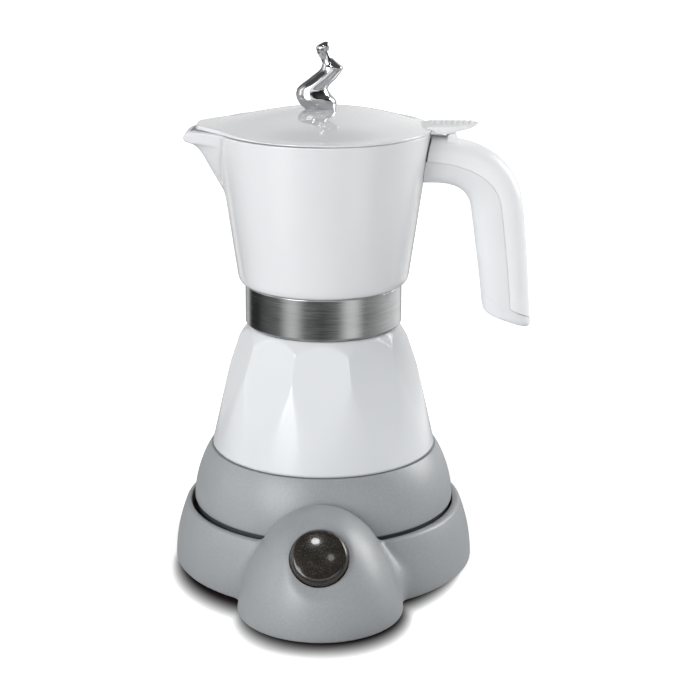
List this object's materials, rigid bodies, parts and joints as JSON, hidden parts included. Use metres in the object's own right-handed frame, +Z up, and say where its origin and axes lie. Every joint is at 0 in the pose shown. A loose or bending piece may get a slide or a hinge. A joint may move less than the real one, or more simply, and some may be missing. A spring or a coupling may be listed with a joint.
{
  "type": "electric moka pot",
  "caption": "Electric stovetop-style coffee pot: a faceted boiler with a screw-on jug, hinged lid and handle, standing on a round cordless power base with a push button.",
  "frame": {"origin": "on the table, on the axis of the pot", "axes": "+Z up along the pot's axis, -Y towards the push button, +X towards the handle"},
  "size_m": [0.1755, 0.1866, 0.2576],
  "materials": {
    "grey_plastic": "fine speckled satin",
    "dark_plastic": "matt",
    "pale_plastic": "matt",
    "white_gloss": "gloss",
    "white_satin": "satin",
    "white_enamel": "gloss enamel",
    "collar_steel": "brushed round the axis",
    "chrome": "mirror",
    "aluminium": "satin",
    "black_rubber": "matt",
    "white_rubber": "matt",
    "brass": "satin",
    "screw_steel": "zinc plated",
    "spring_steel": "bright",
    "element_steel": "heat tinted",
    "smoked_lens": "smoked, polished",
    "lamp_amber": "gloss",
    "board_green": "satin",
    "lead_insulation": "matt"
  },
  "bodies": {
    "power_base": {"base_shell": "grey_plastic", "base_plate": "dark_plastic", "foot_ring": "black_rubber", "front_foot": "black_rubber", "plate_screws": "screw_steel", "cord_gland": "black_rubber", "base_connector": "dark_plastic", "base_contacts": "brass", "circuit_board": "board_green", "board_screws": "screw_steel", "switch_body": "dark_plastic", "signal_lamp": "lamp_amber", "button_spring": "spring_steel", "base_leads": "lead_insulation"},
    "push_button": {"button_lens": "smoked_lens", "button_holder": "pale_plastic", "switch_plunger": "pale_plastic"},
    "heated_pot": {"skirt": "grey_plastic", "skirt_floor": "dark_plastic", "floor_screws": "screw_steel", "pot_connector": "dark_plastic", "pot_contacts": "brass", "boiler_screws": "screw_steel", "heating_plate": "aluminium", "heating_element": "element_steel", "thermostat": "pale_plastic", "thermal_fuse": "pale_plastic", "pot_leads": "lead_insulation", "boiler": "white_enamel", "valve_body": "brass", "valve_spring": "spring_steel"},
    "valve_pin": {"valve_stem": "brass"},
    "coffee_funnel": {"funnel": "aluminium"},
    "filter_set": {"gasket": "white_rubber", "filter_plate": "aluminium"},
    "jug_set": {"screw_collar": "collar_steel", "collector_base": "aluminium", "chimney": "aluminium", "jug_body": "white_gloss", "jug_seal": "white_rubber", "chimney_nut": "aluminium", "chimney_cap": "aluminium", "handle_shell": "white_satin", "handle_cover": "white_satin", "handle_screw": "screw_steel", "hinge_pin": "screw_steel"},
    "lid_set": {"lid": "white_gloss", "thumb_lever": "white_satin", "lid_knob": "chrome", "knob_screw": "screw_steel"}
  },
  "joints": [
    {"name": "button_press", "type": "slide", "parent": "power_base", "child": "push_button", "axis": [0, 0.766, -0.6428], "range_m": [0, 0.003], "stiffness_N_per_m": 400, "springref_m": -0.003, "deforming": ["button_spring"]},
    {"name": "pot_lift", "type": "slide", "parent": "power_base", "child": "heated_pot", "axis": [0, 0, 1], "range_m": [0, 0.07]},
    {"name": "valve_travel", "type": "slide", "parent": "heated_pot", "child": "valve_pin", "axis": [0, 1, 0], "range_m": [0, 0.0025], "stiffness_N_per_m": 600, "springref_m": -0.003, "deforming": ["valve_spring"]},
    {"name": "funnel_lift", "type": "slide", "parent": "heated_pot", "child": "coffee_funnel", "axis": [0, 0, 1], "range_m": [0, 0.095]},
    {"name": "jug_rise", "type": "slide", "parent": "coffee_funnel", "child": "filter_set", "axis": [0, 0, 1], "range_m": [0, 0.0061]},
    {"name": "jug_turn", "type": "hinge", "parent": "filter_set", "child": "jug_set", "pos_m": [0, 0, 0.132], "axis": [0, 0, 1], "range_deg": [0, 540]},
    {"name": "lid_hinge", "type": "hinge", "parent": "jug_set", "child": "lid_set", "pos_m": [0.0611, 0, 0.2129], "axis": [0, 1, 0], "range_deg": [0, 42]}
  ],
  "couplings": [
    {"joint": "jug_rise", "follows": "jug_turn", "m_per_rad": 0.00063662}
  ]
}
